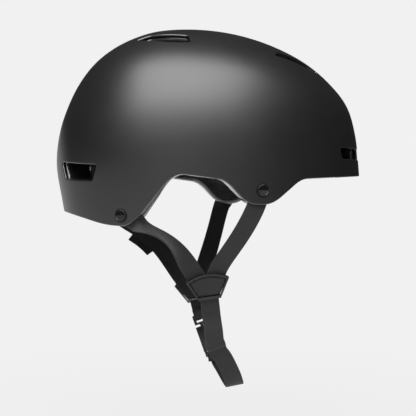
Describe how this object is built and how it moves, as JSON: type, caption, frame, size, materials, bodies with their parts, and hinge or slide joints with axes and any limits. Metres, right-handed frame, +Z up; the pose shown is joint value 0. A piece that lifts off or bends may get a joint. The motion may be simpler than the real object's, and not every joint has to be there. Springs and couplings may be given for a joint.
{
  "type": "open-face bike helmet",
  "caption": "Open-face hard-shell helmet for bikes and skating, with a foam liner, comfort pads and a buckled webbing harness.",
  "frame": {"origin": "middle of the shell at the height of the brow edge, where the head sits", "axes": "+X forward, +Y to the wearer's left, +Z up"},
  "size_m": [0.2836, 0.2162, 0.3365],
  "materials": {
    "shell_plastic": "satin",
    "liner_foam": "moulded foam",
    "pad_fabric": "brushed knit",
    "hook_tape": "hook tape",
    "rivet_plastic": "semi-gloss",
    "washer_steel": "plain",
    "webbing": "woven",
    "label_fabric": "woven",
    "fitting_plastic": "satin"
  },
  "bodies": {
    "helmet": {"shell": "shell_plastic", "liner": "liner_foam", "pad_brow": "pad_fabric", "pad_crown": "pad_fabric", "pad_left": "pad_fabric", "pad_right": "pad_fabric", "pad_rear": "pad_fabric", "hook_patches": "hook_tape", "rivet_caps": "rivet_plastic", "rivet_washers": "washer_steel", "strap_front_right": "webbing", "strap_rear_right": "webbing", "strap_front_left": "webbing", "strap_rear_left": "webbing", "strap_label": "label_fabric"},
    "chin_loop": {"web_left": "webbing", "chin_strap": "webbing", "buckle_plug": "fitting_plastic"},
    "divider_right_body": {"divider_right": "fitting_plastic"},
    "divider_left_body": {"divider_left": "fitting_plastic"},
    "socket_body": {"buckle_socket": "fitting_plastic"},
    "prong_front_body": {"prong_front": "fitting_plastic"},
    "prong_rear_body": {"prong_rear": "fitting_plastic"}
  },
  "joints": [
    {"name": "chin_loop_swing", "type": "hinge", "parent": "helmet", "child": "chin_loop", "pos_m": [-0.004, 0, -0.108], "axis": [0, 1, 0], "range_deg": [-12, 14], "deforming": ["strap_front_right", "strap_rear_right", "strap_front_left", "strap_rear_left"]},
    {"name": "divider_right_slide", "type": "slide", "parent": "chin_loop", "child": "divider_right_body", "axis": [0.1478, 0.3383, -0.9294], "range_m": [0, 0.01]},
    {"name": "divider_left_slide", "type": "slide", "parent": "chin_loop", "child": "divider_left_body", "axis": [0.1908, -0.3357, -0.9224], "range_m": [0, 0.004]},
    {"name": "buckle_release", "type": "slide", "parent": "chin_loop", "child": "socket_body", "axis": [0.3256, -0.0988, -0.9403], "range_m": [0, 0.018], "deforming": ["chin_strap", "prong_front", "prong_rear"]},
    {"name": "prong_front_squeeze", "type": "hinge", "parent": "chin_loop", "child": "prong_front_body", "pos_m": [0.00649, 0.03556, -0.1398], "axis": [0.2922, 0.9564, 0.0006], "range_deg": [0, 7], "stiffness_Nm_per_rad": 0.1},
    {"name": "prong_rear_squeeze", "type": "hinge", "parent": "chin_loop", "child": "prong_rear_body", "pos_m": [-0.00142, 0.03798, -0.1428], "axis": [0.2922, 0.9564, 0.0006], "range_deg": [-7, 0], "stiffness_Nm_per_rad": 0.1}
  ],
  "couplings": [
    {"joint": "prong_rear_squeeze", "follows": "prong_front_squeeze", "ratio": -1}
  ]
}
